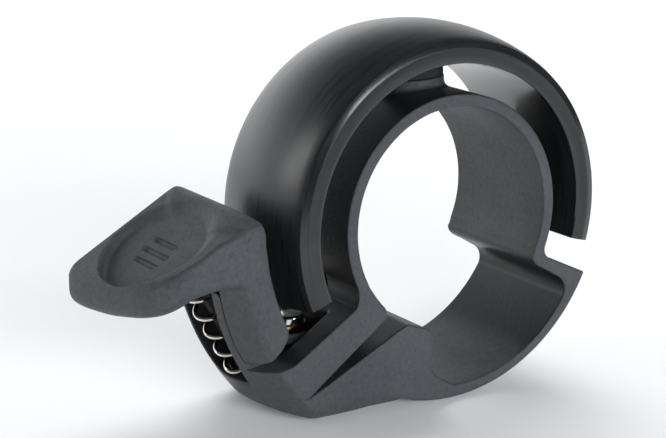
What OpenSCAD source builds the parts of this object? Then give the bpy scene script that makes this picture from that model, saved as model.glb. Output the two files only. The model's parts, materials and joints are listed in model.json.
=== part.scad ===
// Ring-shaped handlebar bell with a thumb lever.
// Origin: centre of the handlebar bore, half way along it. Y runs along the handlebar, Z is up, X is to the right
// when seen from the front (from -Y). The lever and its spring are on the -X side. Angles are measured in the XZ
// plane about the bore axis, from +X towards +Z.

/* [Clamp] */
// Diameter of the handlebar that the clamp fits
bar_d = 31.8; // [31.6:0.1:32.0]
// Width of the bracket along the handlebar
width = 21.2; // [20.6:0.2:22]
// Wall of the clamp's upper ring
ring_wall = 1.75; // [1.5:0.05:1.9]
// Radius of the strap and jaw outside, about the bore axis
strap_r = 26.4; // [26.2:0.1:26.8]
// Lowest point of the jaw under the lever
jaw_z = -25.9; // [-26.2:0.1:-25.6]
// Nominal diameter of the clamp screw
bolt_d = 3; // [2.5:0.5:3]

/* [Bell] */
// Inner radius of the bell ring
bell_ri = 21.85; // [21.6:0.05:22]
// Largest outer radius of the bell ring, half way along it
bell_ro = 26.6; // [26.4:0.1:26.8]
// Angle at which the bell's free right end is cut
bell_start = -15.5; // [-17:0.5:-14]
// Angle at which the bell's left end, above the hammer, is cut
bell_end = 203.4; // [202.5:0.1:204]
// Angle of the post that carries the bell
post_angle = 92; // [88:1:98]
// Diameter of the post
post_d = 10; // [9:0.5:11]

/* [Lever] */
// Half width of the lever's leg, and distance from the middle to the pad's front edge
pad_half = 10.8; // [10.6:0.1:11]
// Distance from the middle to the pad's rear edge
pad_rear = 11.9; // [11.4:0.1:12.2]
// Slope of the thumb pad's top
pad_slope = 29.5; // [28:0.5:31]
// Height of the pad, square to its top
pad_t = 4.8; // [4.4:0.1:5]
// Largest radius of the lever housing, about the bore axis
nose_r = 36.9; // [36.6:0.1:37.1]

/* [Spring] */
// Outer diameter of the return spring
spring_od = 3.9; // [3.7:0.1:4]
// Wire diameter of the return spring
wire_d = 0.62; // [0.5:0.02:0.7]
// Active turns of the return spring
spring_turns = 5; // [4:1:6]

/* [Hidden] */
$fn = 96;
far = 60;
half = width / 2;
bar_r = bar_d / 2;
ring_r = bar_r + ring_wall;

function polar(r, a) = [r * cos(a), r * sin(a)];
function arc(r, a0, a1, c = [0, 0], n = 12) = [for (i = [0:n]) c + polar(r, a0 + (a1 - a0) * i / n)];

// ---- Layout in the XZ plane ----
// Bell post, along a radius at post_angle
post_foot = ring_r + 1.3;  // top of the bracket's boss
screw_end = bell_ri + 2.75;
sleeve_r = 2.25;
// Wedge slot between the upper arm and the jaw
slot_tip = [-23.75, -22.1];
slot_top = [-10.4, -12.2];
slot_low = [-9.05, -14.85];
jaw_corner = [-7.2, -14.05];
arm_angle = -147;          // top of the upper arm, a radial face
part_gap = 0.3;            // gap under the lever housing, from the slot's tip outwards
// Lever pivot
pivot = [-28.1, -12.8];
pin_r = 0.8;
pin_half = 8.4;
pin_play = 0.04;
tongue_half = 5.9;         // the housing's tongue, between the lever's cheeks
cheek_in = 6.2;            // inner face of the cheeks
boss_r = 2.1;              // round end of the tongue about the pivot
arm_half = 2.6;            // half width of the hammer arm
// Spring axis, from the lower seat towards the pad
spring_foot = [-28.6, -19.7];
spring_head = [-36.4, -5.6];
spring_dir = (spring_head - spring_foot) / norm(spring_head - spring_foot);
spring_len = norm(spring_head - spring_foot);
spring_tilt = atan2(spring_dir[1], spring_dir[0]);
// Hammer
hammer_x = -20.8;
hammer_top = -13.0;
hammer_r = 2.2;
spigot_r = 1;              // the hammer's stem, pressed into the lug
collar_r = 2.6;
collar_h = 1.6;
lug_top = hammer_top - 2.4;
lug_low = -16.8;
floor_z = -17.0;           // floor of the pocket under the hammer
pocket_x = -17.8;          // end of that pocket, next to the clamp ring
// Clamp screw: its axis is square to the slot's middle line. Distances run from bolt_at towards the jaw.
bolt_at = [-12.55, -15.37];
bolt_angle = -58.9;
head_seat = 5.2;
washer_t = 0.5;
insert_r = 2;
insert_at = -5.6;          // flanged end of the threaded insert
insert_len = 4.1;
flange_r = 2.4;
flange_t = 0.5;
seat_gap = 0.02;           // between parts that are clamped or pressed together
// Thumb pad
ridge = [-32.6, 4.1];
tip_x = -49.7;
dish_r = 23;
dish_depth = 1.45;
dish_at = [9.7, 1.1];      // middle of the dish: down the slope from the ridge, and to the rear

// Extrudes a profile drawn in the XZ plane from y0 to y1.
module across(y0, y1) {
    translate([0, y1, 0])
        rotate([90, 0, 0])
            linear_extrude(y1 - y0)
                children();
}

// Turns a profile drawn as [radius, y] about the bore axis.
module around(a0, a1) {
    rotate([90, 0, 0])
        rotate_extrude(angle = a1 - a0, start = a0)
            mirror([0, 1])
                children();
}

// Stands a child's Z axis along a direction in the XZ plane, at a point in that plane.
module along(p, a) {
    translate([p[0], 0, p[1]])
        rotate([0, 90 - a, 0])
            children();
}

// ---- Clamp bracket ----

// The lever housing's outer surface: a barrel about the bore axis.
module nose_limit(grow = 0) {
    crown = 17.5;
    rotate([90, 0, 0])
        rotate_extrude()
            intersection() {
                translate([nose_r + grow - crown, 0])
                    circle(crown);
                translate([0, -far / 2])
                    square([far, far]);
            }
}

module ring_profile() {
    difference() {
        circle(ring_r);
        // The ring ends at the lip on the right and at the slot on the left
        polygon([[0, 0], polar(far, -148.5), polar(far, -90), polar(far, -28)]);
    }
}

module lower_profile() {
    pocket_at = polar(3.3, -60);
    pocket_r = 21.7;
    corner_r = 3;
    lip_at = polar(14.6, -33);
    lip_r = 3.2;
    difference() {
        intersection() {
            circle(strap_r);
            polygon([[0, 0], polar(far, -115), polar(far, -70), polar(far, -25.5)]);
        }
        // Cable pocket, with a round corner under the lip
        intersection() {
            offset(r = corner_r)
                offset(delta = -corner_r)
                    intersection() {
                        translate(pocket_at)
                            circle(pocket_r);
                        polygon([[-1, 0], polar(far, -31), polar(far, -90), polar(far, -150)]);
                    }
            polygon([[-1, 0], [-3.4, -20], [-2.7, -21.7], [-1.9, -23.1], [0.75, -24.6], polar(far, -80),
                polar(far, -50), polar(far, -31)]);
        }
        // Rounded inner end of the lip
        translate(lip_at)
            circle(lip_r);
    }
}

// Jaw with its crowned underside, which reaches out below the lever housing
module jaw_profile() {
    crown = 24.8;
    difference() {
        translate([-18.5, jaw_z + crown])
            circle(crown);
        polygon([[far, far], [far, -far], [-9.6, -far], [-9.6, -23.4], [-4.9, -16.5], [0, 0], jaw_corner,
            slot_low, slot_tip, [-far, slot_tip[1] - 0.9], [-far, far]]);
    }
}

// Upper arm and the foot of the lever housing
module arm_profile() {
    overlap = 0.5;
    polygon([polar(bar_r - overlap, -153), polar(ring_r, -152.5), polar(19.2, arm_angle),
        polar(31.8, arm_angle), [-28.2, -17.9], [-30.2, -17.85], [-32.1, -17.3], [-33.2, -16.6],
        [-40, -16.6], [-40, -22.6 + part_gap], [slot_tip[0], slot_tip[1] + part_gap], slot_top, [-8, -10.4]]);
}

// Tongue that stands up inside the lever: it holds the pivot pin and the spring
module tongue_profile() {
    // Its inner edge leaves room for the lever's web at full travel
    inner_angle = 139.5;
    union() {
        translate(pivot)
            circle(boss_r);
        polygon([[-27.2, -18.5], pivot + polar(boss_r, -75), pivot, pivot + polar(11.4, inner_angle), [-40, -5.2],
            [-40, -18.5]]);
    }
}

// Space for the spring, open to the outside
module spring_slot() {
    slot_half = 4.7;
    inner = spring_od / 2 + 0.15;
    along(spring_foot, spring_tilt)
        translate([-20 + inner, -slot_half, 0])
            cube([20, 2 * slot_half, 30]);
}

module hammer_pocket() {
    across(-cheek_in, cheek_in)
        polygon([[pocket_x, floor_z], [pocket_x, -5], [-25.3, -5], [-27.5, -14], [-26.8, -15.6], [-26, floor_z]]);
}

module bolt_holes() {
    clear_r = bolt_d / 2 + 0.1;
    head_hole_r = 3.1;
    reach = 10;
    along(bolt_at, bolt_angle) {
        translate([0, 0, insert_at])
            cylinder(h = reach - insert_at, r = clear_r);
        translate([0, 0, head_seat])
            cylinder(h = reach, r = head_hole_r);
        // Seat of the threaded insert, open towards the hammer pocket
        translate([0, 0, -reach])
            cylinder(h = reach + insert_at + insert_len + seat_gap, r = insert_r + seat_gap);
        translate([0, 0, -reach])
            cylinder(h = reach + insert_at + flange_t, r = flange_r + seat_gap);
    }
}

module post_holes() {
    clear_r = bolt_d / 2 + 0.1;
    // Countersink for the bell screw's head, from inside the bore
    sink_r = 3.6;
    sink_h = 2;
    sink_at = bar_r - 0.6;
    along([0, 0], post_angle) {
        cylinder(h = post_foot + 1, r = clear_r);
        translate([0, 0, sink_at])
            cylinder(h = sink_h, r1 = sink_r, r2 = clear_r);
    }
}

module clamp_bracket() {
    edge_r = 2.5;
    boss_h = post_foot - ring_r;
    color("#4d5156")
        difference() {
            union() {
                across(-half, half) {
                    ring_profile();
                    lower_profile();
                }
                // Jaw, with its lower edges rounded along the handlebar
                intersection() {
                    across(-half, half)
                        jaw_profile();
                    translate([-far, 0, 0])
                        rotate([90, 0, 90])
                            linear_extrude(2 * far) {
                                translate([-half, jaw_z + edge_r])
                                    square([width, far]);
                                translate([-half + edge_r, jaw_z])
                                    square([width - 2 * edge_r, far]);
                                for (s = [-1, 1])
                                    translate([s * (half - edge_r), jaw_z + edge_r])
                                        circle(edge_r);
                            }
                    nose_limit();
                }
                intersection() {
                    union() {
                        across(-half, half)
                            arm_profile();
                        across(-tongue_half, tongue_half)
                            tongue_profile();
                    }
                    nose_limit();
                }
                // Boss under the bell post, sunk into the ring
                along([0, 0], post_angle)
                    translate([0, 0, ring_r - boss_h / 2])
                        cylinder(h = 1.5 * boss_h, d = post_d);
            }
            across(-far, far)
                circle(bar_r);
            hammer_pocket();
            spring_slot();
            bolt_holes();
            post_holes();
            along(pivot, 0)
                rotate([90, 0, 0])
                    cylinder(h = far, r = pin_r + pin_play, center = true);
        }
}

// ---- Bell ----

module bell_section() {
    crown = 36;
    bevel = 0.3;
    flat_r = 23.9;
    edge_r = 25;
    inner_cut = 0.35;
    intersection() {
        translate([bell_ro - crown, 0])
            circle(crown, $fn = 360);
        polygon([[bell_ri, -half + inner_cut], [bell_ri + inner_cut, -half], [flat_r, -half],
            [edge_r, -half + bevel], [far, -half + bevel], [far, half - bevel], [edge_r, half - bevel],
            [flat_r, half], [bell_ri + inner_cut, half], [bell_ri, half - inner_cut]]);
    }
}

module bell_ring() {
    color("#17191c")
        difference() {
            around(bell_start, bell_end)
                bell_section();
            along([0, 0], post_angle)
                cylinder(h = screw_end + 0.3, r = bolt_d / 2 + seat_gap);
        }
}

// Soft collar between the post and the bell, cut to the bell's inner surface
module bell_isolator() {
    inset = 0.3;
    sleeve_gap = 0.05;
    color("#202224")
        difference() {
            intersection() {
                along([0, 0], post_angle)
                    translate([0, 0, post_foot])
                        cylinder(h = bell_ri - post_foot, d = post_d - 2 * inset);
                rotate([90, 0, 0])
                    cylinder(h = far, r = bell_ri - seat_gap, center = true);
            }
            along([0, 0], post_angle)
                cylinder(h = far, r = sleeve_r + sleeve_gap);
        }
}

module bell_sleeve() {
    // The bell's inner surface is curved, so the sleeve stops short of it
    short = 0.2;
    screw_gap = 0.04;
    sleeve_h = bell_ri - post_foot - short;
    color("#b9bcc0")
        along([0, 0], post_angle)
            translate([0, 0, post_foot + seat_gap])
                difference() {
                    cylinder(h = sleeve_h, r = sleeve_r);
                    translate([0, 0, -1])
                        cylinder(h = sleeve_h + 2, r = bolt_d / 2 + screw_gap);
                }
}

module bell_screw() {
    head_at = bar_r + 0.1;
    head_r = 2.7;
    head_h = 1.3;
    key_r = 1.15;
    color("#9fa3a8")
        along([0, 0], post_angle)
            difference() {
                union() {
                    translate([0, 0, head_at])
                        cylinder(h = head_h, r1 = head_r, r2 = bolt_d / 2 - 0.1);
                    translate([0, 0, head_at + head_h / 2])
                        cylinder(h = screw_end - head_at - head_h / 2, r = bolt_d / 2);
                }
                translate([0, 0, head_at - 1])
                    cylinder(h = 2, r = key_r, $fn = 6);
            }
}

// ---- Lever ----

// Local axes of the pad: u runs down the pad's top from the ridge, v is square to it.
pad_u = polar(1, 180 + pad_slope);
pad_v = polar(1, 90 + pad_slope);
function pad_pt(u, v) = ridge + u * pad_u + v * pad_v;

// Places a child drawn on the pad: X runs up the slope to the ridge, Z is square to the pad's top.
module on_pad() {
    translate([ridge[0], 0, ridge[1]])
        rotate([0, -pad_slope, 0])
            children();
}

// Outline of the pad seen from above. Its free end is round at the front and runs to a corner at the rear.
module pad_outline() {
    corner_r = 1.6;
    offset(r = corner_r)
        offset(delta = -corner_r)
            polygon([[ridge[0] + 2, -pad_half], [tip_x + 8.7, -pad_half], [tip_x + 5.1, 1.6 - pad_half],
                [tip_x + 2.9, -5.6], [tip_x + 1.1, 0.6], [tip_x, 8], [tip_x + 0.1, pad_rear],
                [ridge[0] + 2, pad_rear]]);
}

module pad_plate() {
    intersection() {
        linear_extrude(far, center = true)
            pad_outline();
        across(-far / 2, far / 2)
            polygon([pad_pt(0, 0), pad_pt(far / 2, 0), pad_pt(far / 2, -pad_t), pad_pt(0, -pad_t)]);
    }
}

module leg_profile() {
    polygon(concat(
        [pad_pt(0, 0), ridge + [0.9, -0.25], ridge + [1.6, -0.9], [-30.3, 1.2], [-29.9, -1.5], [-29.3, -4.3],
            [-28.5, -7.2], [-27.7, -9.6], [-26.8, -12.2], [-27.2, -13.4], [-28.1, -14.5]],
        // The foot clears the floor of the housing as the lever swings
        [[-29.2, -15.4], [-30.3, -16.4], [-31.4, -16.5], [-33, -14.2], [-40, -14.2], [-40, 0], pad_pt(8, -1)]));
}

// Web under the pad that carries the pad's load into the leg
module pad_root() {
    intersection() {
        across(-pad_half, pad_half)
            polygon(concat([pad_pt(0.5, -0.2), [-31, 0], [-33, -6]], arc(2.6, 0, 90, [-39.2, -8.3], 6),
                [[-41.4, -5.6], [-43.2, -5.9], pad_pt(12.6, -2)]));
        linear_extrude(far, center = true)
            pad_outline();
    }
}

// The leg is hollow between its cheeks, so that the tongue and the spring fit inside
module leg_hollow() {
    across(-cheek_in, cheek_in)
        polygon([[-31, -3.4], [-30.6, -4.5], [-30, -7], [-29.2, -9.3], pivot + [-0.2, 1.4], pivot + [0.8, -1.2],
            [-27, -18], [-45, -18], [-39.6, -7.4], [-39.2, -5], [-38.2, -4.2], [-36.4, -3.4]]);
}

// Arm from the leg's web, over the pivot boss and down to the lug that holds the hammer
module hammer_arm() {
    across(-arm_half, arm_half)
        polygon([[-29.4, -7.4], [-28.7, -7.4], [-25.6, -10.6], [-24.3, -13], [-23.6, lug_top], [-19, lug_top],
            [-18.8, lug_top - 0.5], [-19, lug_low], [-24.8, lug_low], [-26.4, -15.6], pivot, [-28.8, -10]]);
}

module thumb_lever() {
    boss_gap = 0.25;
    socket_gap = 0.2;
    color("#4a4e53")
        difference() {
            union() {
                pad_plate();
                difference() {
                    union() {
                        intersection() {
                            across(-pad_half, pad_half)
                                leg_profile();
                            nose_limit();
                        }
                        pad_root();
                    }
                    leg_hollow();
                }
                hammer_arm();
            }
            // Clearance round the pivot boss
            across(-cheek_in, cheek_in)
                translate(pivot)
                    circle(boss_r + boss_gap);
            // Dish for the thumb
            on_pad()
                translate([-dish_at[0], dish_at[1], dish_r - dish_depth])
                    sphere(dish_r, $fn = 180);
            translate([hammer_x, 0, lug_low - 1])
                cylinder(h = hammer_top - lug_low, r = spigot_r + seat_gap);
            // Blind sockets of the pivot pin
            along(pivot, 0)
                rotate([90, 0, 0])
                    cylinder(h = 2 * pin_half + socket_gap, r = pin_r + pin_play, center = true);
        }
}

module pivot_pin() {
    color("#a9adb1")
        along(pivot, 0)
            rotate([90, 0, 0])
                cylinder(h = 2 * pin_half, r = pin_r, center = true);
}

module hammer_head() {
    color("#dfe2e4")
        translate([hammer_x, 0, 0]) {
            translate([0, 0, lug_top + seat_gap])
                cylinder(h = hammer_top - lug_top - seat_gap, r = hammer_r);
            translate([0, 0, lug_low + 0.1])
                cylinder(h = hammer_top - lug_low - 0.5, r = spigot_r);
        }
}

module hammer_collar() {
    color("#c79a4b")
        translate([hammer_x, 0, lug_top + seat_gap])
            difference() {
                cylinder(h = collar_h, r = collar_r);
                translate([0, 0, -1])
                    cylinder(h = collar_h + 2, r = hammer_r + seat_gap);
            }
}

// ---- Return spring ----

module return_spring() {
    steps = 20;
    turns = spring_turns + 0.5;
    first = 0.5;
    r = (spring_od - wire_d) / 2;
    rise = (spring_len - 2 * first - wire_d) / turns;
    n = steps * turns;
    color("#d9dbdd")
        along(spring_foot, spring_tilt)
            for (i = [0:n - 1])
                hull()
                    for (k = [i, i + 1])
                        translate([r * cos(360 * k / steps), -r * sin(360 * k / steps), first + rise * k / steps])
                            sphere(d = wire_d, $fn = 8);
}

// ---- Clamp screw ----

module clamp_bolt() {
    shank = 10;
    head_d = 5.5;
    head_h = 3;
    key_r = 1.45;
    key_depth = 1.6;
    color("#8d9196")
        along(bolt_at, bolt_angle)
            translate([0, 0, head_seat + washer_t + 2 * seat_gap])
                difference() {
                    union() {
                        translate([0, 0, -shank])
                            cylinder(h = shank + 1, r = bolt_d / 2);
                        cylinder(h = head_h, d = head_d);
                    }
                    translate([0, 0, head_h - key_depth])
                        cylinder(h = head_h, r = key_r, $fn = 6);
                }
}

module clamp_washer() {
    washer_r = 2.95;
    screw_gap = 0.05;
    color("#b4b8bc")
        along(bolt_at, bolt_angle)
            translate([0, 0, head_seat + seat_gap])
                difference() {
                    cylinder(h = washer_t, r = washer_r);
                    translate([0, 0, -1])
                        cylinder(h = washer_t + 2, r = bolt_d / 2 + screw_gap);
                }
}

// Brass insert with the screw's thread, pulled into the arm by its flange
module thread_insert() {
    color("#c2964a")
        along(bolt_at, bolt_angle)
            translate([0, 0, insert_at])
                difference() {
                    union() {
                        cylinder(h = insert_len, r = insert_r);
                        cylinder(h = flange_t - seat_gap, r = flange_r);
                    }
                    translate([0, 0, -1])
                        cylinder(h = insert_len + 2, r = bolt_d / 2 + seat_gap);
                }
}

clamp_bracket();
bell_ring();
bell_isolator();
bell_sleeve();
bell_screw();
thumb_lever();
pivot_pin();
hammer_head();
hammer_collar();
return_spring();
clamp_bolt();
clamp_washer();
thread_insert();
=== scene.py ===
"""Looks of the ring-shaped handlebar bell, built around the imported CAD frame.

Shapes are worked out in millimetres in the frame's own axes (bore axis along Y, Z up, front at -Y) and turned
into meshes in metres. Moulded parts and screws are signed distance fields, so that their edges have radii.
The bell, the isolator, the hammer and its collar are sections swept round an axis. The lever and its spring
are on the -X side.
"""

import json
import math

import bpy
import numpy as np
from mathutils import Matrix, Vector


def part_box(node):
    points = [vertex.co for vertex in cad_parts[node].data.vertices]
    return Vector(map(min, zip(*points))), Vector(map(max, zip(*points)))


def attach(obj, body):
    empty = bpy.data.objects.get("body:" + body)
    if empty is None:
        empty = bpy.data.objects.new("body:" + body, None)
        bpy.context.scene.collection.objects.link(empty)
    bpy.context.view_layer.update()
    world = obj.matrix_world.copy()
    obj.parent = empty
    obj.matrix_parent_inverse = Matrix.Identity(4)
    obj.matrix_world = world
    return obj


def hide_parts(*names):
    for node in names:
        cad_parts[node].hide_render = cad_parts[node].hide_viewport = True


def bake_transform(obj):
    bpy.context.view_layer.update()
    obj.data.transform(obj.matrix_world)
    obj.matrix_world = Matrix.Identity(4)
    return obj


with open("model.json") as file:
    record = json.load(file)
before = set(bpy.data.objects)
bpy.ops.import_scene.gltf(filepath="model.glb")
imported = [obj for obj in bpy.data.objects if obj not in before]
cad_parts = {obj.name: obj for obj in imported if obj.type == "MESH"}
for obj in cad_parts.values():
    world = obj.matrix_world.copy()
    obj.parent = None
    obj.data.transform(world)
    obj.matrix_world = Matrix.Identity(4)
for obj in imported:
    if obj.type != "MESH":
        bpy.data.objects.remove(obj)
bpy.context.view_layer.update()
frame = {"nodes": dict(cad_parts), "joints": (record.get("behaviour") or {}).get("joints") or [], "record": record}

MM = 0.001


def box_mm(node):
    """A CAD node's lowest and highest corners in mm, to a hundredth."""
    return [[round(c / MM, 2) for c in corner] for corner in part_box(node)]


def joint(name):
    """A CAD joint's place and direction in the XZ plane: (x, z) in mm, and degrees from +X towards +Z."""
    row = next(j for j in frame["joints"] if j["name"] == name)
    (x, _, z), (dx, _, dz) = row["pos_m"], row["axis"]
    return (x / MM, z / MM), math.degrees(math.atan2(dz, dx))


# ---- Sizes from the frame, in mm ----
bracket_low, bracket_high = box_mm("clamp_bracket")
_, bell_high = box_mm("bell_ring")
lever_low, lever_high = box_mm("thumb_lever")
pin_low, pin_high = box_mm("pivot_pin")
hammer_low, hammer_high = box_mm("hammer_head")
collar_low, collar_high = box_mm("hammer_collar")
BAR_R = frame["record"]["mounts"][0]["dims"]["r_mm"]
HALF = bracket_high[1]
STRAP_R = -bracket_low[2]
BELL_RO = bell_high[2]
LEG_HALF, PAD_REAR = -lever_low[1], lever_high[1]
PIVOT, _ = joint("lever_press")
PIN_R, PIN_HALF = (pin_high[2] - pin_low[2]) / 2, pin_high[1]
HAMMER_X, HAMMER_TOP = (hammer_low[0] + hammer_high[0]) / 2, hammer_high[2]
HAMMER_R, COLLAR_R = hammer_high[1], collar_high[1]
BOLT_AT, BOLT_ANGLE = joint("clamp_screw_turn")

# ---- Other sizes, in mm and degrees ----
# Gap left between pieces that touch
FIT = 0.02
RING_R = 17.65
JAW_Z = -25.9
BELL_RI = 21.85
BELL_START, BELL_END = -15.5, 203.4
POST_ANGLE = 92
POST_R = 5
POST_FOOT = RING_R + 1.3
NOSE_R, NOSE_CROWN = 36.9, 17.5
BOSS_R = 2.1
PIN_PLAY = 0.04
TONGUE_HALF, CHEEK_IN = 5.9, 6.2
SPRING_FOOT, SPRING_HEAD = (-28.6, -19.7), (-36.4, -5.6)
SPRING_TILT = math.degrees(math.atan2(SPRING_HEAD[1] - SPRING_FOOT[1], SPRING_HEAD[0] - SPRING_FOOT[0]))
SPRING_R, WIRE_R = 1.64, 0.31
LUG_TOP, LUG_LOW = collar_low[2] - FIT, -16.8
SCREW_R, CLEAR_R = 1.5, 1.6
HEAD_SEAT, WASHER_T = 5.2, 0.5
RIDGE, PAD_SLOPE, PAD_T = (-32.6, 4.1), 29.5, 5.0
TIP_X = -49.5
FLOOR_Z = -STRAP_R


def polar(r, degrees):
    return (r * math.cos(math.radians(degrees)), r * math.sin(math.radians(degrees)))


# ---- Signed distances: negative inside, in mm. x, y and z are arrays that broadcast together. ----


def cut_round(a, b, r):
    """Intersection of two fields, with the edge between them rounded to radius r."""
    return np.minimum(np.maximum(a, b), -r) + np.hypot(np.maximum(a + r, 0), np.maximum(b + r, 0))


def join_round(a, b, r):
    """Union of two fields, with a fillet of radius r between them."""
    return -cut_round(-a, -b, r)


def half_plane(x, z, point, degrees):
    """Negative on the right-hand side of a line through point, looking along its direction."""
    dx, dz = polar(1, degrees)
    return dx * (z - point[1]) - dz * (x - point[0])


def disc(x, z, centre, r):
    return np.hypot(x - centre[0], z - centre[1]) - r


def rounded(corners, steps=4):
    """A closed outline; a corner given as (x, z, r) is rounded to radius r."""
    points = []
    for i, corner in enumerate(corners):
        here = np.array(corner[:2], float)
        if len(corner) < 3:
            points.append(here)
            continue
        before = np.array(corners[i - 1][:2]) - here
        after = np.array(corners[(i + 1) % len(corners)][:2]) - here
        room = min(np.linalg.norm(before), np.linalg.norm(after)) / 2
        a, b = before / np.linalg.norm(before), after / np.linalg.norm(after)
        half = math.acos(max(-1, min(1, a @ b))) / 2
        reach = min(corner[2] / math.tan(half), room)
        r = reach * math.tan(half)
        centre = here + (a + b) / np.linalg.norm(a + b) * r / math.sin(half)
        start, end = here + a * reach - centre, here + b * reach - centre
        angle = math.atan2(start[1], start[0])
        turn = math.remainder(math.atan2(end[1], end[0]) - angle, 2 * math.pi)
        for k in range(steps + 1):
            t = angle + turn * k / steps
            points.append(centre + r * np.array([math.cos(t), math.sin(t)]))
    return points


def polygon(x, z, outline):
    """Signed distance to a closed outline in a plane."""
    best = np.full(np.broadcast(x, z).shape, 1e9, x.dtype)
    inside = np.zeros(best.shape, bool)
    for a, b in zip(outline, outline[1:] + outline[:1]):
        ex, ez = b[0] - a[0], b[1] - a[1]
        length = ex * ex + ez * ez
        if length < 1e-12:
            continue
        px, pz = x - a[0], z - a[1]
        t = np.clip((px * ex + pz * ez) / length, 0, 1)
        best = np.minimum(best, (px - ex * t) ** 2 + (pz - ez * t) ** 2)
        if ez:
            crosses = ((a[1] > z) != (b[1] > z)) & (px < pz * (ex / ez))
            inside ^= crosses
    return np.where(inside, -1, 1) * np.sqrt(best)


def along_axis(x, z, point, degrees):
    """Distance along an axis in the XZ plane and distance across it in that plane."""
    dx, dz = polar(1, degrees)
    px, pz = x - point[0], z - point[1]
    return px * dx + pz * dz, px * dz - pz * dx


def drill(s, c, y, start, end, r):
    """A round hole or rod along an axis, from start to end."""
    return np.maximum(np.hypot(c, y) - r, np.maximum(start - s, s - end))


def barrel(x, y, z):
    """The crowned outer surface that the lever and its housing share."""
    return np.hypot(np.hypot(x, z) - (NOSE_R - NOSE_CROWN), y) - NOSE_CROWN


# ---- Meshes from fields ----


def net(values, low, step):
    """Surface net: a vertex in each cell that the surface crosses, a quad round each crossed grid edge."""
    inside = values < 0
    size = np.array(values.shape)
    cells, points, faces = [], [], []
    for axis in range(3):
        u, v = (axis + 1) % 3, (axis + 2) % 3
        first, second = [slice(None)] * 3, [slice(None)] * 3
        first[axis], second[axis] = slice(0, -1), slice(1, None)
        at = np.argwhere(inside[tuple(first)] != inside[tuple(second)])
        at = at[(at[:, u] > 0) & (at[:, v] > 0)]
        ahead = at.copy()
        ahead[:, axis] += 1
        a, b = values[tuple(at.T)], values[tuple(ahead.T)]
        crossing = at.astype(float)
        crossing[:, axis] += a / (a - b)
        corner = []
        for du, dv in ((0, 0), (1, 0), (1, 1), (0, 1)):
            cell = at.copy()
            cell[:, u] -= du
            cell[:, v] -= dv
            corner.append(np.ravel_multi_index(tuple(cell.T), size))
            cells.append(corner[-1])
            points.append(crossing)
        quad = np.stack(corner, 1)
        quad[a > 0] = quad[a > 0][:, ::-1]
        faces.append(quad)
    ids, index = np.unique(np.concatenate(cells), return_inverse=True)
    points = np.concatenate(points)
    count = np.bincount(index)
    middle = np.stack([np.bincount(index, points[:, k]) / count for k in range(3)], 1)
    return middle * step + low, np.searchsorted(ids, np.concatenate(faces))


def slope(field, p, reach=0.02):
    """The field's gradient at points, by central differences."""
    columns = []
    for k in range(3):
        ahead, behind = p.copy(), p.copy()
        ahead[:, k] += reach
        behind[:, k] -= reach
        columns.append((field(*ahead.T) - field(*behind.T)) / (2 * reach))
    return np.stack(columns, 1)


def mesh_object(name, points, faces, sharp=None):
    """A smooth object from points in mm. Edges that bend by more than sharp degrees stay crisp."""
    mesh = bpy.data.meshes.new(name)
    mesh.from_pydata((np.asarray(points) * MM).tolist(), [], faces)
    mesh.polygons.foreach_set("use_smooth", [True] * len(mesh.polygons))
    if sharp:
        mesh.set_sharp_from_angle(angle=math.radians(sharp))
    obj = bpy.data.objects.new(name, mesh)
    bpy.context.scene.collection.objects.link(obj)
    return obj


def moulded(name, field, low, high, step, most_faces=95000):
    """A mesh of a field's surface. Its points sit on the surface and its normals are the field's own."""
    low, high = np.array(low, float), np.array(high, float)
    axes = [np.arange(low[k], high[k] + step, step, np.float32) for k in range(3)]
    x, y, z = np.meshgrid(*axes, indexing="ij", sparse=True)
    points, faces = net(np.broadcast_to(field(x, y, z), [len(a) for a in axes]), low, step)
    obj = mesh_object(name, points, faces.tolist())
    if len(faces) > most_faces:
        thin = obj.modifiers.new("thin", "DECIMATE")
        thin.ratio = most_faces / len(faces)
        bake_modifiers(obj)
    mesh = obj.data
    p = np.zeros(len(mesh.vertices) * 3)
    mesh.vertices.foreach_get("co", p)
    p = p.reshape(-1, 3) / MM
    for _ in range(2):
        g = slope(field, p)
        size = np.maximum((g * g).sum(1), 0.1)
        p -= g * np.clip(field(*p.T) / size, -step / 2, step / 2)[:, None]
    mesh.vertices.foreach_set("co", (p * MM).ravel())
    g = slope(field, p)
    g /= np.maximum(np.linalg.norm(g, axis=1), 1e-6)[:, None]
    mesh.update()
    mesh.normals_split_custom_set_from_vertices(g.tolist())
    return obj


def bake_modifiers(obj):
    """Replaces the object's mesh with the one that its modifiers make."""
    graph = bpy.context.evaluated_depsgraph_get()
    made = bpy.data.meshes.new_from_object(obj.evaluated_get(graph))
    obj.modifiers.clear()
    obj.data = made
    made.polygons.foreach_set("use_smooth", [True] * len(made.polygons))


# ---- Clamp bracket ----

SLOT_TIP, SLOT_TOP, SLOT_LOW = (-23.75, -22.1), (-10.4, -12.2), (-9.05, -14.85)
LIP_TOP, LIP_UNDER = -25.5, -31
ARM_ANGLE = -147
EDGE = 0.3

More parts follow.
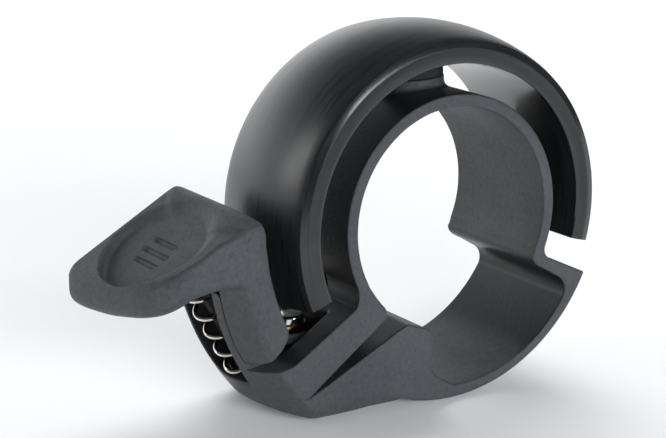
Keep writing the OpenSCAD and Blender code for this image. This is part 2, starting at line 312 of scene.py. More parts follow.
ARM = rounded([
    polar(BAR_R - 1, -154), (*polar(RING_R - 0.3, -152), 0.3), (*polar(19.2, ARM_ANGLE), 0.3),
    (*polar(31.2, ARM_ANGLE), 5), (-30.4, -17.9, 3), (-33.4, -17.3, 3), (-34.6, -16.6), (-40, -16.6),
    (-40, -22.9), (SLOT_TIP[0] - 2, -22.35), (SLOT_TIP[0], SLOT_TIP[1] + 0.1), (*SLOT_TOP, 0.3), (-8, -10.4)])
JAW_CUT = rounded([
    (60, 60), (60, -60), (-9.6, -60), (-9.6, -23.4), (-4.9, -16.5), (0, 0), (-7.2, -14.05), (*SLOT_LOW, 0.4),
    SLOT_TIP, (SLOT_TIP[0] - 2, -22.25), (-60, -23.0), (-60, 60)])
TONGUE = rounded([
    (-27.2, -18.5), (-27.6, -14.8), PIVOT, (-36.6, -5.2), (-42, -5.2), (-42, -18.5)])
POCKET_SIDE = rounded([
    (-1, 0), (-3.6, -20, 1), (-3.3, -22.2, 1.8), (0.55, -24.65), polar(60, -80), polar(60, -50),
    polar(60, LIP_UNDER + 2), (0, 0)])
HAMMER_POCKET = rounded([
    (-17.8, -17, 0.4), (-17.8, -5), (-25.3, -5), (-27.5, -14), (-26.8, -15.6), (-26, -17, 0.4)])


def bracket_flat(x, z):
    """The side outlines of the clamp ring and of the strap with its lip and cable pocket."""
    pocket_at, pocket_r, pocket_corner = polar(3.3, -60), 21.7, 2.3
    rho = np.hypot(x, z)
    missing = np.maximum(half_plane(x, z, (0, 0), -28), -half_plane(x, z, (0, 0), -148.5))
    ring = np.maximum(rho - RING_R, -missing)
    lip = np.maximum(half_plane(x, z, (0, 0), LIP_TOP), -half_plane(x, z, (0, 0), -115))
    strap = cut_round(rho - STRAP_R, lip, 0.25)
    pocket = cut_round(disc(x, z, pocket_at, pocket_r), half_plane(x, z, (0, 0), LIP_UNDER), pocket_corner)
    pocket = np.maximum(pocket, polygon(x, z, POCKET_SIDE))
    return ring, np.maximum(strap, -pocket)


def jaw_fields(x, y, z, strap):
    """The jaw, crowned underneath, and the wide fillet that runs from it to the strap."""
    crown, crown_x, lower_edge, fillet, bore_edge = 24.8, -18.5, 2.5, 3.5, 0.4
    flat = cut_round(disc(x, z, (crown_x, JAW_Z + crown), crown), -polygon(x, z, JAW_CUT), 0.2)
    across, down = np.abs(y) - HALF + lower_edge, JAW_Z + lower_edge - z
    section = np.hypot(np.maximum(across, 0), np.maximum(down, 0)) - lower_edge
    section = section + np.minimum(np.maximum(across, down), 0)
    jaw = cut_round(cut_round(flat, section, EDGE), barrel(x, y, z), EDGE)
    jaw = cut_round(jaw, BAR_R - np.hypot(x, z), bore_edge)
    # The fillet stays clear of the wedge slot
    under = np.maximum(join_round(flat, strap, fillet), z + 20)
    return jaw, cut_round(cut_round(under, section, EDGE), barrel(x, y, z), EDGE)


def bracket_holes(x, y, z):
    """Hammer pocket, spring slot and screw holes, each with the radius of its edge."""
    pocket = cut_round(polygon(x, z, HAMMER_POCKET), np.abs(y) - CHEEK_IN, 0.5)
    slot_half, slot_gap, slot_corner = 4.7, 0.15, 0.8
    s, c = along_axis(x, z, SPRING_FOOT, SPRING_TILT)
    slot = cut_round(c - SPRING_R - WIRE_R - slot_gap, np.abs(y) - slot_half, slot_corner)
    head_hole_r, reach = 3.1, 40
    insert_r, insert_end, flange_r, flange_end = 2, -1.48, 2.4, -5.1
    s2, c2 = along_axis(x, z, BOLT_AT, BOLT_ANGLE)
    bolt = np.minimum(drill(s2, c2, y, 0, reach, CLEAR_R), drill(s2, c2, y, HEAD_SEAT, reach, head_hole_r))
    bolt = np.minimum(bolt, drill(s2, c2, y, -10, insert_end, insert_r + FIT))
    bolt = np.minimum(bolt, drill(s2, c2, y, -10, flange_end, flange_r + FIT))
    return (pocket, 0.25), (np.maximum(slot, -s), 0.25), (bolt, 0.15)


def bracket_field(x, y, z):
    lip_fillet, arm_fillet, bore_edge, post_fillet = 1.4, 1.0, 1.7, 0.9
    ring, strap = bracket_flat(x, z)
    arm = polygon(x, z, ARM)
    # Ring, strap and arm share one outline, with fillets where they meet
    loop = join_round(join_round(ring, strap, lip_fillet), np.maximum(arm, -40 - x), arm_fillet)
    loop = cut_round(loop, BAR_R - np.hypot(x, z), bore_edge)
    plate = cut_round(cut_round(loop, np.abs(y) - HALF, EDGE), barrel(x, y, z), EDGE)
    jaw, under = jaw_fields(x, y, z, strap)
    body = np.minimum(join_round(plate, jaw, 0.2), under)
    tongue = np.minimum(polygon(x, z, TONGUE), disc(x, z, PIVOT, BOSS_R))
    tongue = cut_round(cut_round(tongue, np.abs(y) - TONGUE_HALF, 0.25), barrel(x, y, z), 0.25)
    body = np.minimum(body, tongue)
    # Post under the bell, with the countersink and the hole of the bell screw
    sink_r, sink_at, hole_end = 3.6, BAR_R - 0.6, 18
    s, c = along_axis(x, z, (0, 0), POST_ANGLE)
    post = cut_round(np.hypot(c, y) - POST_R, s - POST_FOOT, 0.3)
    body = join_round(body, np.maximum(post, BAR_R + 0.5 - s), post_fillet)
    sink = np.hypot(c, y) - sink_r + np.maximum(s - sink_at, 0)
    hole = np.minimum(np.maximum(sink * 0.7, s - hole_end), np.hypot(c, y) - CLEAR_R)
    body = cut_round(body, -np.maximum(hole, 10 - s), 0.1)
    for opening, edge in bracket_holes(x, y, z):
        body = cut_round(body, -opening, edge)
    return np.maximum(body, -disc(x, z, PIVOT, PIN_R + PIN_PLAY))


# ---- Thumb lever ----

LEG = rounded([
    (-31.0, 4.9, 2.6), (-30.3, 1.0, 6), (-29.6, -3.8, 12), (-28.5, -7.7, 14), (-26.6, -12.5, 2.0),
    (-27.8, -14.4, 3), (-30.3, -16.65, 1.6), (-31.5, -16.6, 1), (-33, -14.2), (-42, -14.2), (-42, -1.16)])
ROOT = rounded([
    (-33, 2.0), (-31.5, 0), (-32.5, -4.9), (-42.6, -4.7, 1.5), (-44.5, -3.4)])
PAD = rounded([
    (RIDGE[0] + 3, -LEG_HALF), (TIP_X + 8.6, -LEG_HALF, 30), (TIP_X + 4.7, -9.4, 30), (TIP_X + 2.5, -5.8, 30),
    (TIP_X + 0.8, 0.6, 30), (TIP_X, 7.3, 30), (TIP_X + 0.1, PAD_REAR, 3.5), (RIDGE[0] + 3, PAD_REAR)], 6)
LEG_HOLLOW = rounded([
    (-31.2, -3.4, 0.6), (-30.6, -4.6), (-30, -7), (-29.2, -9.3), (-28.3, -11.4), (-27.3, -14), (-27, -18),
    (-45, -18), (-39.4, -7.4), (-39.1, -4.8, 1), (-37.5, -3.6, 0.8)])
HAMMER_ARM = rounded([
    (-29.4, -7.4), (-28.7, -7.4), (-25.6, -10.6, 1.5), (-24.3, -13, 2), (-23.6, LUG_TOP, 1),
    (-19, LUG_TOP, 0.3), (-18.8, LUG_LOW, 0.4), (-24.8, LUG_LOW, 1), (-26.4, -15.6, 1), PIVOT, (-28.8, -10)])
DISH_U, DISH_HALF, DISH_AT, DISH_Y = 7.8, 8.9, 9.9, 1.1
GROOVE_HALF, GROOVE_R, GROOVE_PITCH = 3.1, 0.42, 1.9


def pad_axes(x, z):
    """Distance down the pad's slope from the ridge, and height above the pad's top plane."""
    ux, uz = polar(1, 180 + PAD_SLOPE)
    vx, vz = polar(1, 90 + PAD_SLOPE)
    px, pz = x - RIDGE[0], z - RIDGE[1]
    return px * ux + pz * uz, px * vx + pz * vz


def dish_depth(u, y):
    """Depth of the dish, deepest towards the free end, and the radius of its edge."""
    least_depth, more_depth, side_rise = 0.3, 1.7, 0.1
    least_edge, more_edge = 0.25, 2.2
    share = np.clip((u - DISH_AT + DISH_U) / (2 * DISH_U), 0, 1)
    depth = least_depth + more_depth * share - side_rise * ((y - DISH_Y) / DISH_HALF) ** 2
    return depth, least_edge + more_edge * (1 - share) ** 2


def dished(body, u, v, y):
    """Cuts the thumb dish, with three plain grip grooves in its floor."""
    floor_fillet = 0.5
    oval = (np.hypot((u - DISH_AT) / DISH_U, (y - DISH_Y) / DISH_HALF) - 1) * DISH_U
    depth, edge = dish_depth(u, y)
    body = cut_round(body, -cut_round(oval, -v - depth, floor_fillet), edge)
    for k in (-1, 0, 1):
        reach = GROOVE_HALF - 0.5 * abs(k)
        du, dy = u - DISH_AT - k * GROOVE_PITCH, np.maximum(np.abs(y - DISH_Y) - reach, 0)
        groove = np.sqrt(du * du + dy * dy + (v + depth) ** 2) - GROOVE_R
        body = cut_round(body, -groove, 0.1)
    return body


def lever_field(x, y, z):
    proud, turn_over, rim_edge, under_edge, side_edge = 0.2, 2.6, 0.7, 3.0, 0.8
    u, v = pad_axes(x, z)
    v = v - proud
    # The ridge is where the pad's top turns over into the leg. It sinks towards its front corner.
    sink_curve, sink_from, sink_end, sink_run = 0.03, 4, 5, 6
    sunk = v + sink_curve * np.maximum(-y - sink_from, 0) ** 2 * np.clip((sink_end - u) / sink_run, 0, 1)
    top = cut_round(sunk, half_plane(x, z, (-30.3, 1.0), -79.8), turn_over)
    rim = polygon(x, y, PAD)
    pad = cut_round(cut_round(rim, top, rim_edge), -v - PAD_T, under_edge)
    root = cut_round(polygon(x, z, ROOT), rim, 1.5)
    leg = cut_round(polygon(x, z, LEG), barrel(x, y, z), 0.4)
    # The leg is as wide as the pad at the top, and narrower behind, towards its foot
    rear = y - LEG_HALF - (PAD_REAR - LEG_HALF - 0.2) * np.clip((z + 6) / 8, 0, 1)
    leg = cut_round(cut_round(leg, -y - LEG_HALF, side_edge), rear, side_edge)
    body = join_round(join_round(pad, root, 1.2), np.maximum(leg, sunk), 1.0)
    # The fillets stay inside the pad's own flanks
    flank_gap, flank_edge = 0.1, 0.3
    body = cut_round(body, -y - LEG_HALF - flank_gap, flank_edge)
    body = dished(cut_round(body, y - PAD_REAR - flank_gap, flank_edge), u, v, y)
    # Hollow for the tongue and the spring, and the arm that carries the hammer
    hollow = cut_round(polygon(x, z, LEG_HOLLOW), np.abs(y) - CHEEK_IN, 0.4)
    body = cut_round(body, -hollow, 0.2)
    arm_half, boss_gap, socket_gap = 2.6, 0.25, 0.1
    arm = cut_round(polygon(x, z, HAMMER_ARM), np.abs(y) - arm_half, 0.3)
    body = join_round(body, arm, 0.4)
    round_boss = np.maximum(disc(x, z, PIVOT, BOSS_R + boss_gap), np.abs(y) - CHEEK_IN)
    pin = np.maximum(disc(x, z, PIVOT, PIN_R + PIN_PLAY), np.abs(y) - PIN_HALF - socket_gap)
    return np.maximum(np.maximum(body, -round_boss), -pin)


# ---- Turned parts, spring and screws ----


def place(obj, point, degrees):
    """Stands the object's Z axis along a direction in the XZ plane, at a point there, in mm."""
    turn = Matrix.Rotation(math.radians(90 - degrees), 4, "Y")
    obj.data.transform(Matrix.Translation(Vector((point[0], 0, point[1])) * MM) @ turn)
    return obj


def lathe(name, section, sides=64, sharp=40):
    """Turns a closed section of (r, z) points about Z. Points at r = 0 close the shape on its axis."""
    rows, points, faces = [], [], []
    for r, z in section:
        if r < 1e-6:
            rows.append([len(points)] * sides)
            points.append((0, 0, z))
            continue
        rows.append(list(range(len(points), len(points) + sides)))
        for k in range(sides):
            t = 2 * math.pi * k / sides
            points.append((r * math.cos(t), r * math.sin(t), z))
    for low, high in zip(rows, rows[1:] + rows[:1]):
        if low[0] == low[1] and high[0] == high[1]:
            continue
        for k in range(sides):
            n = (k + 1) % sides
            ring = [low[k], low[n], high[n], high[k]]
            faces.append(sorted(set(ring), key=ring.index))
    return mesh_object(name, points, faces, sharp)


def bell_section():
    """The bell ring's section as (radius, y) points, with fine radii on its edges."""
    bevel, flat_r, bevel_r, crown, half_steps = 0.3, 23.9, 25.0, 36, 12
    crown_y = HALF - bevel
    top = []
    for k in range(-half_steps, half_steps + 1):
        y = crown_y * k / half_steps
        top.append((BELL_RO - crown + math.sqrt(crown ** 2 - y ** 2), y))
    top[0], top[-1] = (bevel_r, -crown_y, 0.1), (bevel_r, crown_y, 0.1)
    corners = [(flat_r, -HALF, 0.08)] + top
    corners += [(flat_r, HALF, 0.08), (BELL_RI, HALF, 0.25), (BELL_RI, -HALF, 0.25)]
    return rounded(corners, 3)


def bell_ring():
    section = bell_section()
    turns = 280
    points, faces = [], []
    for k in range(turns + 1):
        t = math.radians(BELL_START + (BELL_END - BELL_START) * k / turns)
        points += [(r * math.cos(t), y, r * math.sin(t)) for r, y in section]
    n = len(section)
    for k in range(turns):
        for i in range(n):
            j = (i + 1) % n
            faces.append([k * n + i, (k + 1) * n + i, (k + 1) * n + j, k * n + j])
    faces.append(list(range(n)))
    faces.append([turns * n + i for i in reversed(range(n))])
    obj = mesh_object("bell_ring_finished", points, faces)
    edge = obj.modifiers.new("edge", "BEVEL")
    edge.width = 0.14 * MM
    edge.segments = 2
    edge.limit_method = "ANGLE"
    edge.angle_limit = math.radians(60)
    bake_modifiers(obj)
    obj.data.set_sharp_from_angle(angle=math.radians(35))
    return obj


def spring():
    """A left-hand coil of round wire with flat end turns, swept along its own path."""
    length = math.dist(SPRING_FOOT, SPRING_HEAD) - 0.1
    closed, active, lift, per_turn, around = 0.68, 4.63, 0.37, 40, 14
    total = 2 * closed + active
    begin, run_out = math.radians(111), 0.24
    steps = int(total * per_turn)
    pitch = (length - 2 * WIRE_R - 2 * closed * lift) / active
    path, points, inside, height = [], [], [], WIRE_R
    for k in range(steps + 1):
        turn = k / per_turn
        angle = begin - 2 * math.pi * turn
        path.append((SPRING_R * math.cos(angle), SPRING_R * math.sin(angle), height))
        nearest_end = min(turn, total - turn)
        ease = np.clip((nearest_end - closed) / run_out + 0.5, 0, 1)
        height += (lift + (pitch - lift) * ease * ease * (3 - 2 * ease)) / per_turn
    for k, p in enumerate(path):
        a, b = Vector(path[max(k - 1, 0)]), Vector(path[min(k + 1, steps)])
        forward = (b - a).normalized()
        outward = Vector((p[0], p[1], 0)).normalized()
        upward = forward.cross(outward).normalized()
        for i in range(around):
            t = 2 * math.pi * i / around
            points.append(Vector(p) + WIRE_R * (outward * math.cos(t) + upward * math.sin(t)))
            # How far each point of the wire faces the coil's axis, for the painted shade on the inside of the coil
            inside.append(0.5 - 0.5 * math.cos(t))
    faces = []
    for k in range(steps):
        for i in range(around):
            j = (i + 1) % around
            faces.append([k * around + i, k * around + j, (k + 1) * around + j, (k + 1) * around + i])
    faces.append([i for i in reversed(range(around))])
    faces.append([steps * around + i for i in range(around)])
    obj = mesh_object("return_spring_wire", points, faces, 50)
    obj.data.attributes.new("inside", "FLOAT", "POINT").data.foreach_set("value", inside)
    return place(obj, SPRING_FOOT, SPRING_TILT)


def hexagon(x, y, across_corners):
    d = [np.abs(x * math.cos(a) + y * math.sin(a)) for a in (0, math.pi / 3, 2 * math.pi / 3)]
    return np.maximum(np.maximum(d[0], d[1]), d[2]) - across_corners * math.cos(math.pi / 6)


def threaded(x, y, z):
    """A threaded rod round the Z axis."""
    pitch, depth = 0.5, 0.12
    turn = np.arctan2(y, x) / (2 * math.pi)
    return np.hypot(x, y) - SCREW_R + depth * np.abs(2 * ((z / pitch + turn) % 1) - 1)


def cap_screw_field(x, y, z):
    """Socket head cap screw, head up, with its seat at z = 0."""
    head_r, head_h, shank_end, key_r, key_floor = 2.75, 3, -10, 1.45, 1.4
    head = cut_round(cut_round(np.hypot(x, y) - head_r, z - head_h, 0.35), -z, 0.1)
    shank = cut_round(threaded(x, y, z), shank_end - z, 0.3)
    body = join_round(head, np.maximum(shank, z - 1), 0.1)
    return cut_round(body, -np.maximum(hexagon(x, y, key_r), key_floor - z), 0.1)


def countersunk_field(x, y, z):
    """Countersunk screw, point up, with its flat face at z = 0."""
    head_r, head_h, length, key_r, key_depth = 2.65, 1.4, 8.5, 1.15, 1
    r = np.hypot(x, y)
    cone = (r - head_r - 0.05 + z) * math.sqrt(0.5)
    head = cut_round(cut_round(cone, -z, 0.12), r - head_r, 0.1)
    shank = cut_round(threaded(x, y, z), z - length, 0.3)
    body = np.minimum(np.maximum(head, z - head_h), np.maximum(shank, 0.5 - z))
    return cut_round(body, -np.maximum(hexagon(x, y, key_r), z - key_depth), 0.08)


# ---- Materials ----


def new_material(name):
    """A material with its nodes, links, main shader, and the position on the piece in metres."""
    material = bpy.data.materials.new(name)
    material.use_nodes = True
    nodes, links = material.node_tree.nodes, material.node_tree.links
    shader = nodes["Principled BSDF"]
    position = nodes.new("ShaderNodeTexCoord").outputs["Object"]
    return material, nodes, links, shader, position


def add(nodes, kind, **values):
    """A new node with its properties set."""
    node = nodes.new(kind)
    for key, value in values.items():
        setattr(node, key, value)
    return node


def maths(nodes, links, operation, a, b=0.0):
    """A sum, product or other function of sockets or numbers."""
    node = add(nodes, "ShaderNodeMath", operation=operation)
    for socket, value in zip(node.inputs, (a, b)):
        if isinstance(value, (int, float)):
            socket.default_value = value
        else:
            links.new(value, socket)
    return node.outputs[0]


def noise(nodes, links, position, scale, detail=3.0, roughness=0.6):
    node = add(nodes, "ShaderNodeTexNoise")
    node.inputs["Scale"].default_value = scale
    node.inputs["Detail"].default_value = detail
    node.inputs["Roughness"].default_value = roughness
    links.new(position, node.inputs["Vector"])
    return node.outputs["Fac"]


def ramp(nodes, links, value, stops):
    node = add(nodes, "ShaderNodeValToRGB")
    while len(node.color_ramp.elements) < len(stops):
        node.color_ramp.elements.new(0.5)
    for element, (at, colour) in zip(node.color_ramp.elements, stops):
        element.position = at
        element.color = (*colour, 1)
    links.new(value, node.inputs[0])
    return node.outputs["Color"]


def remap(nodes, links, value, low, high, to_low, to_high):
    node = add(nodes, "ShaderNodeMapRange")
    for key, number in zip((1, 2, 3, 4), (low, high, to_low, to_high)):
        node.inputs[key].default_value = number
    links.new(value, node.inputs[0])
    return node.outputs[0]


def bump(nodes, links, height, distance, strength, under=None):
    node = add(nodes, "ShaderNodeBump")
    node.inputs["Distance"].default_value = distance
    node.inputs["Strength"].default_value = strength
    links.new(height, node.inputs["Height"])
    if under is not None:
        links.new(under, node.inputs["Normal"])
    return node.outputs["Normal"]


def from_axis(nodes, links, position):
    """x, y and z on the piece, and the distance from the bore axis."""
    split = add(nodes, "ShaderNodeSeparateXYZ")
    links.new(position, split.inputs[0])
    x, y, z = split.outputs
    squares = [maths(nodes, links, "MULTIPLY", value, value) for value in (x, z)]
    return x, y, z, maths(nodes, links, "SQRT", maths(nodes, links, "ADD", *squares))


def mixed_colours(nodes, links, share, first, second):
    """Mixes a colour socket with a plain colour."""
    shade = add(nodes, "ShaderNodeMix", data_type="RGBA")
    links.new(share, shade.inputs["Factor"])
    links.new(first, shade.inputs[6])
    shade.inputs[7].default_value = (*second, 1)
    return shade.outputs[2]


def bands(nodes, links, value, rows):
    """Multiplies a mask by ramps, each given as (socket, low, high, value at low, value at high), in mm."""
    for socket, low, high, at_low, at_high in rows:
        value = maths(nodes, links, "MULTIPLY", value,
                      remap(nodes, links, socket, low * MM, high * MM, at_low, at_high))
    return value


def nylon(name, dark, light, rough, flanks=False):
    """Glass-filled nylon: a fine spark-eroded grain with paler fibre specks and slight cloudiness.

    With flanks, the surfaces round the clamp ring and the side walls of the spring slot are painted darker,
    as painted shade for the shade under the bell and in the slot, and are made smoother.
    """
    material, nodes, links, shader, position = new_material(name)
    grain = noise(nodes, links, position, 5200, 2, 0.7)
    coarse = noise(nodes, links, position, 1500, 2, 0.5)
    cloud = noise(nodes, links, position, 90, 3, 0.5)
    mixed = maths(nodes, links, "ADD", maths(nodes, links, "MULTIPLY", grain, 0.45),
                  maths(nodes, links, "MULTIPLY", coarse, 0.3))
    mixed = maths(nodes, links, "ADD", mixed, maths(nodes, links, "MULTIPLY", cloud, 0.25))
    colour = ramp(nodes, links, mixed, [(0.3, dark), (0.68, light)])
    roughness = remap(nodes, links, mixed, 0.35, 0.65, rough + 0.06, rough - 0.06)
    if flanks:
        x, y, z, radius = from_axis(nodes, links, position)
        facing = add(nodes, "ShaderNodeSeparateXYZ")
        links.new(add(nodes, "ShaderNodeTexCoord").outputs["Normal"], facing.inputs[0])
        # Painted shade on surfaces round the clamp ring, under the bell, that face away from the front and back
        painted_shade = remap(nodes, links, maths(nodes, links, "ABSOLUTE", facing.outputs[1]), 0.3, 0.8, 1, 0)
        painted_shade = bands(nodes, links, painted_shade, (
            (radius, 16.1, 16.5, 0, 1), (radius, 31.0, 32.5, 1, 0), (z, -22.5, -20.5, 0, 1)))
        # Painted shade on the side walls of the spring slot
        slot = remap(nodes, links, maths(nodes, links, "ABSOLUTE", y), 4.72 * MM, 4.8 * MM, 1, 0)
        slot = bands(nodes, links, slot, ((x, -24.0, -23.0, 1, 0), (z, -22.3, -21.8, 0, 1)))
        painted_shade = maths(nodes, links, "MAXIMUM", painted_shade, slot)
        # The painted shade is a darker copy of the nylon's own colour
        colour = mixed_colours(nodes, links, painted_shade, colour, [c * 0.45 for c in dark])
        roughness = maths(nodes, links, "SUBTRACT", roughness, maths(nodes, links, "MULTIPLY", painted_shade, 0.12))
    links.new(colour, shader.inputs["Base Color"])
    links.new(roughness, shader.inputs["Roughness"])
    fine = bump(nodes, links, grain, 0.00004, 0.55)
    links.new(bump(nodes, links, coarse, 0.00006, 0.5, fine), shader.inputs["Normal"])
    shader.inputs["Specular IOR Level"].default_value = 0.45
    return material


def metal(name, colour, rough):
    """Plain metal with fine wear marks."""
    material, nodes, links, shader, position = new_material(name)
    marks = noise(nodes, links, position, 2600, 4, 0.65)
    shade = tuple(c * 0.86 for c in colour)
    links.new(ramp(nodes, links, marks, [(0.3, shade), (0.7, colour)]), shader.inputs["Base Color"])
    links.new(remap(nodes, links, marks, 0.3, 0.7, rough + 0.08, max(rough - 0.05, 0.03)),
              shader.inputs["Roughness"])
    links.new(bump(nodes, links, marks, 0.00001, 0.35), shader.inputs["Normal"])
    shader.inputs["Metallic"].default_value = 1
    return material


def wire_with_painted_shade(name, colour, rough):
    """Bright wire with painted shade on the inside of the coil, from the mesh's own "inside" values."""
    material = metal(name, colour, rough)
    nodes, links = material.node_tree.nodes, material.node_tree.links
    shader = nodes["Principled BSDF"]
    bright = shader.inputs["Base Color"].links[0].from_socket
    inside = remap(nodes, links, add(nodes, "ShaderNodeAttribute", attribute_name="inside").outputs["Fac"],
                   0.3, 0.6, 0, 1)
    # Painted shade: the wire's inner side, which the back strands show through the coil, is dark
    painted_shade_colour = (0.03, 0.026, 0.02)
    links.new(mixed_colours(nodes, links, inside, bright, painted_shade_colour), shader.inputs["Base Color"])
    return material


def anodised(name):
    """Black anodised aluminium: turned lines round the crown, satin ends, bright inside."""
    material, nodes, links, shader, position = new_material(name)
    x, y, z, radius = from_axis(nodes, links, position)
    angle = maths(nodes, links, "ARCTAN2", z, x)
    # Lines: fast across the ring, slow round it
    lines = add(nodes, "ShaderNodeCombineXYZ")
    links.new(maths(nodes, links, "MULTIPLY", angle, 0.0005), lines.inputs[0])
    links.new(y, lines.inputs[1])
    links.new(radius, lines.inputs[2])
    fine = noise(nodes, links, lines.outputs[0], 9000, 3, 0.75)
    broad = noise(nodes, links, lines.outputs[0], 1400, 3, 0.6)
    both = maths(nodes, links, "ADD", maths(nodes, links, "MULTIPLY", fine, 0.55),
                 maths(nodes, links, "MULTIPLY", broad, 0.45))
    side = maths(nodes, links, "ABSOLUTE", y)
    outside = remap(nodes, links, radius, (BELL_RI + 0.25) * MM, (BELL_RI + 0.6) * MM, 0, 1)
    inner = maths(nodes, links, "SUBTRACT", 1.0, outside)
    flat = remap(nodes, links, side, (HALF - 0.05) * MM, (HALF - 0.02) * MM, 0, 1)
    end = remap(nodes, links, side, (HALF - 0.34) * MM, (HALF - 0.3) * MM, 0, 1)
    bevel = maths(nodes, links, "SUBTRACT", end, flat)
    crown = maths(nodes, links, "MULTIPLY", outside, maths(nodes, links, "SUBTRACT", 1.0, end))
    links.new(ramp(nodes, links, both, [(0.38, (0.003, 0.0033, 0.004)), (0.62, (0.016, 0.017, 0.019))]),
              shader.inputs["Base Color"])
    rough = remap(nodes, links, both, 0.38, 0.62, 0.27, 0.37)
    for mask, change in ((flat, 0.08), (bevel, -0.14), (inner, -0.22)):
        rough = maths(nodes, links, "ADD", rough, maths(nodes, links, "MULTIPLY", mask, change))
    links.new(rough, shader.inputs["Roughness"])
    height = maths(nodes, links, "MULTIPLY", both, crown)
    links.new(bump(nodes, links, height, 0.00003, 0.4), shader.inputs["Normal"])
    shader.inputs["Specular IOR Level"].default_value = 0.65
    shader.inputs["Anisotropic"].default_value = 0.5
    tangent = add(nodes, "ShaderNodeTangent", direction_type="RADIAL", axis="Y")
    links.new(tangent.outputs[0], shader.inputs["Tangent"])
    return material


def rubber(name):
    material, nodes, links, shader, position = new_material(name)
    grain = noise(nodes, links, position, 3000, 3, 0.6)
    links.new(ramp(nodes, links, grain, [(0.3, (0.012, 0.012, 0.013)), (0.7, (0.024, 0.024, 0.025))]),
              shader.inputs["Base Color"])
    links.new(remap(nodes, links, grain, 0.3, 0.7, 0.75, 0.6), shader.inputs["Roughness"])
    links.new(bump(nodes, links, grain, 0.00003, 0.5), shader.inputs["Normal"])
    return material


# ---- Build ----

looks = {
    # The bracket gets painted shade round the clamp ring and in the spring slot
    "bracket_nylon": nylon("bracket nylon", (0.022, 0.024, 0.0275), (0.06, 0.064, 0.07), 0.5, flanks=True),
    "lever_nylon": nylon("lever nylon", (0.023, 0.025, 0.0285), (0.062, 0.066, 0.073), 0.55),
    "bell_anodised": anodised("black anodised"),
    "isolator_rubber": rubber("isolator rubber"),
    "zinc_steel": metal("zinc steel", (0.55, 0.56, 0.58), 0.32),
    "hammer_steel": metal("hammer steel", (0.82, 0.82, 0.81), 0.14),
    # Spring wire with painted shade on the inside of the coil
    "spring_steel": wire_with_painted_shade("spring steel", (0.86, 0.82, 0.74), 0.16),
    "brass": metal("brass", (0.78, 0.53, 0.22), 0.2),
}


def put_in_place(obj, node, body, slot):
    """Puts a finished piece in place of its CAD node."""
    obj.data.materials.clear()
    obj.data.materials.append(looks[slot])
    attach(obj, body)
    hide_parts(node)


bracket = moulded("clamp_bracket_moulded", bracket_field, (-38.0, -11.2, -27.0), (24.6, 11.2, 20.0), 0.22)
put_in_place(bracket, "clamp_bracket", "bracket", "bracket_nylon")

lever = moulded("thumb_lever_moulded", lever_field, (-50.6, -11.8, -17.6), (-17.8, 12.6, 5.4), 0.17)
put_in_place(lever, "thumb_lever", "lever", "lever_nylon")

put_in_place(bell_ring(), "bell_ring", "bracket", "bell_anodised")

SLEEVE_R, ISOLATOR_R, TOP = 2.35, 4.9, BELL_RI + 0.2
isolator = lathe("isolator_collar", rounded([
    (SLEEVE_R, POST_FOOT), (SLEEVE_R, TOP), (ISOLATOR_R, TOP), (ISOLATOR_R, POST_FOOT, 0.25)], 5))
place(isolator, (0, 0), POST_ANGLE)
# Its top is pulled in to the bell's inner surface
for v in isolator.data.vertices:
    shrink = min(1, (BELL_RI - FIT) * MM / math.hypot(v.co.x, v.co.z))
    v.co.x *= shrink
    v.co.z *= shrink
put_in_place(isolator, "bell_isolator", "bracket", "isolator_rubber")

STEM_R = 1
hammer = lathe("hammer_head_turned", rounded([
    (0, LUG_LOW + 0.1), (STEM_R, LUG_LOW + 0.1, 0.2), (STEM_R, LUG_TOP + FIT), (HAMMER_R, LUG_TOP + FIT),
    (HAMMER_R, HAMMER_TOP, 0.4), (0, HAMMER_TOP)], 4))
place(hammer, (HAMMER_X, 0), 90)
put_in_place(hammer, "hammer_head", "lever", "hammer_steel")

COLLAR_TOP = LUG_TOP + 1.3
collar = lathe("hammer_collar_turned", rounded([
    (HAMMER_R + FIT, LUG_TOP + FIT), (COLLAR_R, LUG_TOP + FIT, 0.15), (COLLAR_R, COLLAR_TOP, 0.25),
    (HAMMER_R + FIT, COLLAR_TOP, 0.05)], 4))
place(collar, (HAMMER_X, 0), 90)
put_in_place(collar, "hammer_collar", "lever", "brass")

coil = spring()
coil.data.materials.append(looks["spring_steel"])
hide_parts("return_spring")
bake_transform(coil)

cap_screw = moulded("clamp_bolt_socket", cap_screw_field, (-3, -3, -10.4), (3, 3, 3.3), 0.14)
head_at = np.array(BOLT_AT) + polar(HEAD_SEAT + WASHER_T + 2 * FIT, BOLT_ANGLE)
place(cap_screw, head_at, BOLT_ANGLE)
put_in_place(cap_screw, "clamp_bolt", "clamp_screw", "zinc_steel")

bell_screw = moulded("bell_screw_socket", countersunk_field, (-3, -3, -0.3), (3, 3, 8.8), 0.14)
place(bell_screw, polar(BAR_R + 0.1, POST_ANGLE), POST_ANGLE)
put_in_place(bell_screw, "bell_screw", "bracket", "zinc_steel")

for node, slot in (("bell_sleeve", "zinc_steel"), ("pivot_pin", "zinc_steel"), ("clamp_washer", "zinc_steel"),
                   ("thread_insert", "brass")):
    kept = frame["nodes"][node]
    kept.data.materials.clear()
    kept.data.materials.append(looks[slot])
    kept.data.polygons.foreach_set("use_smooth", [True] * len(kept.data.polygons))
    kept.data.set_sharp_from_angle(angle=math.radians(40))

# ---- Stage ----


def plain(name, colour, rough):
    material, _, _, shader, _ = new_material(name)
    shader.inputs["Base Color"].default_value = (*colour, 1)
    shader.inputs["Roughness"].default_value = rough
    return material


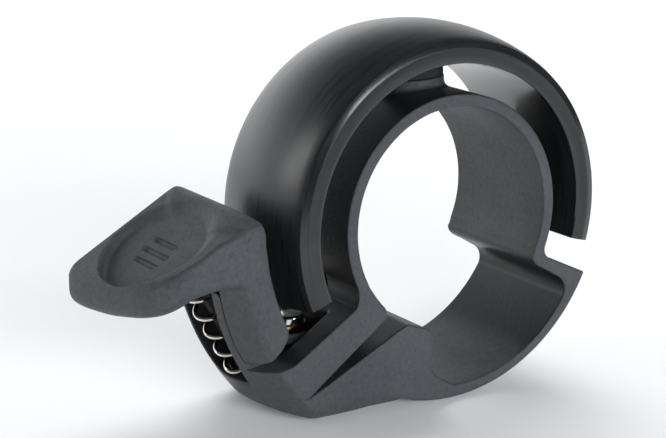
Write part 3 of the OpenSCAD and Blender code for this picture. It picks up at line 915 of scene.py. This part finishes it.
def studio():
    """A pale table top that starts a little in front of the object and runs far back."""
    size, front = 6, -0.18
    bpy.ops.mesh.primitive_plane_add(size=size, location=(0, front + size / 2, FLOOR_Z * MM))
    floor = bpy.context.object
    floor.name = "floor"
    paper = plain("floor paper", (0.86, 0.865, 0.875), 0.9)
    # Clear when seen from below, so that the object's underside can be looked at
    nodes, links = paper.node_tree.nodes, paper.node_tree.links
    side = add(nodes, "ShaderNodeMixShader")
    links.new(add(nodes, "ShaderNodeNewGeometry").outputs["Backfacing"], side.inputs[0])
    links.new(nodes["Principled BSDF"].outputs[0], side.inputs[1])
    links.new(add(nodes, "ShaderNodeBsdfTransparent").outputs[0], side.inputs[2])
    links.new(side.outputs[0], nodes["Material Output"].inputs["Surface"])
    floor.data.materials.append(paper)


def panel(name, location, size, power, colour=(1, 1, 1), in_reflections=True):
    """A soft box that faces the object."""
    light = bpy.data.lights.new(name, "AREA")
    light.shape = "RECTANGLE"
    light.size, light.size_y = size
    light.energy = power
    light.color = colour
    obj = bpy.data.objects.new(name, light)
    obj.location = location
    obj.rotation_mode = "QUATERNION"
    obj.rotation_quaternion = (-Vector(location)).to_track_quat("-Z", "Y")
    obj.visible_glossy = in_reflections
    bpy.context.scene.collection.objects.link(obj)


def camera():
    """Looks from the front left, a little from above, with a long lens."""
    azimuth, elevation, distance = math.radians(-32.42), math.radians(14.64), 0.2772
    target = Vector((-13.31, 0, -0.48)) * MM
    back = Vector((math.sin(azimuth) * math.cos(elevation), -math.cos(azimuth) * math.cos(elevation),
                   math.sin(elevation)))
    data = bpy.data.cameras.new("camera")
    data.lens, data.sensor_width = 106.68, 36
    data.clip_start, data.clip_end = 0.01, 20
    obj = bpy.data.objects.new("camera", data)
    obj.location = target + distance * back
    obj.rotation_mode = "QUATERNION"
    obj.rotation_quaternion = (-back).to_track_quat("-Z", "Y")
    bpy.context.scene.collection.objects.link(obj)
    bpy.context.scene.camera = obj


def sky(low, high):
    """Dim all round, with a bright backdrop low down behind the object. The camera itself sees it pale."""
    world = bpy.data.worlds.new("studio")
    world.use_nodes = True
    nodes, links = world.node_tree.nodes, world.node_tree.links
    split = add(nodes, "ShaderNodeSeparateXYZ")
    links.new(add(nodes, "ShaderNodeTexCoord").outputs["Generated"], split.inputs[0])
    behind = remap(nodes, links, split.outputs[1], 0.5, 0.9, 0, 1)
    near_floor = remap(nodes, links, split.outputs[2], 0.3, 0.7, 1, 0)
    mix = maths(nodes, links, "MULTIPLY", behind, near_floor)
    shade = nodes["Background"]
    shade.inputs[0].default_value = (0.95, 0.975, 1.0, 1)
    strength = remap(nodes, links, mix, 0, 1, low, high)
    seen = maths(nodes, links, "MULTIPLY", add(nodes, "ShaderNodeLightPath").outputs["Is Camera Ray"], 0.9)
    links.new(maths(nodes, links, "MAXIMUM", strength, seen), shade.inputs[1])
    bpy.context.scene.world = world


studio()
sky(0.07, 1.7)
panel("overhead", (0.55, 0.75, 1.1), (1.2, 0.8), 18, in_reflections=False)
panel("left window", (-0.9, 0.6, 0.42), (0.2, 0.5), 1.6)
panel("front window", (0.33, -1.1, 0.2), (0.3, 0.16), 2.0, (0.8, 0.9, 1.0))
panel("front fill", (-0.25, -1.15, 0.3), (0.9, 0.5), 19, in_reflections=False)
panel("right fill", (1.0, 0.1, 0.25), (0.5, 0.4), 4, in_reflections=False)
camera()
bpy.context.scene.view_settings.view_transform = "Standard"
